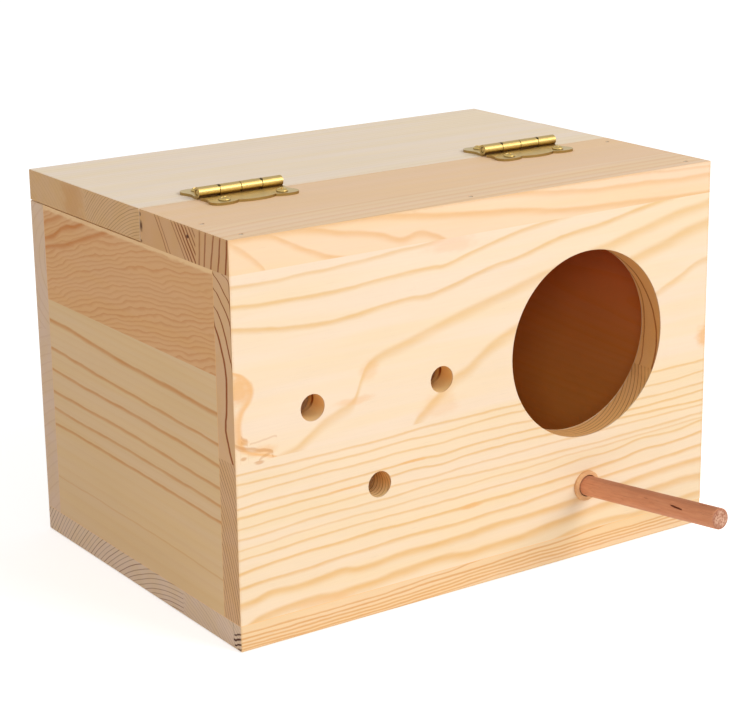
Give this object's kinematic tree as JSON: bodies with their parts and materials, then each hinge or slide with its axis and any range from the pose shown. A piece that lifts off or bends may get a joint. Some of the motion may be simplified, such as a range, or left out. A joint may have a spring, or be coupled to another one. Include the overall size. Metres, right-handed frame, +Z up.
{
  "type": "bird nest box",
  "caption": "Pine nest box for cage birds with a round entrance, a perch below it, vent holes and a lid that swings up on brass hinges.",
  "frame": {"origin": "centre of the flat underside", "axes": "+Z up, +Y from the front panel to the back panel, +X to the right seen from the front"},
  "size_m": [0.175, 0.1824, 0.1237],
  "materials": {
    "pine_front": "bare planed pine, cream with tan growth lines",
    "pine_side": "bare planed pine, warmer and darker, with end grain at the board ends",
    "pine_roof": "bare planed pine, pale greyish cream",
    "perch_wood": "reddish hardwood dowel",
    "brass": "polished plated brass",
    "brad_steel": "dull bright steel"
  },
  "bodies": {
    "box": {"perch_collar": "pine_side", "front_panel_lower_stave": "pine_front", "front_panel_upper_stave": "pine_front", "back_panel_lower_stave": "pine_front", "back_panel_upper_stave": "pine_front", "floor_front_stave": "pine_side", "floor_rear_stave": "pine_side", "left_side_lower_stave": "pine_side", "left_side_upper_stave": "pine_side", "right_side_lower_stave": "pine_side", "right_side_upper_stave": "pine_side", "roof_strip_front_stave": "pine_roof", "roof_strip_rear_stave": "pine_roof", "left_hinge_fixed_leaf": "brass", "right_hinge_fixed_leaf": "brass", "left_hinge_pin": "brass", "right_hinge_pin": "brass", "left_hinge_fixed_screw_left": "brass", "left_hinge_fixed_screw_right": "brass", "right_hinge_fixed_screw_left": "brass", "right_hinge_fixed_screw_right": "brass", "front_brad_1": "brad_steel", "front_brad_2": "brad_steel", "front_brad_3": "brad_steel", "left_brad": "brad_steel", "right_brad": "brad_steel"},
    "lid": {"lid_front_stave": "pine_roof", "lid_rear_stave": "pine_roof", "left_hinge_lid_leaf": "brass", "right_hinge_lid_leaf": "brass", "left_hinge_lid_screw_left": "brass", "left_hinge_lid_screw_right": "brass", "right_hinge_lid_screw_left": "brass", "right_hinge_lid_screw_right": "brass"},
    "perch": {"perch": "perch_wood"}
  },
  "joints": [
    {"name": "lid_hinge", "type": "hinge", "parent": "box", "child": "lid", "pos_m": [0, -0.0113, 0.1221], "axis": [1, 0, 0], "range_deg": [0, 170]},
    {"name": "perch_slide", "type": "slide", "parent": "box", "child": "perch", "axis": [0, -0.993, 0.1184], "range_m": [0, 0.009]}
  ]
}
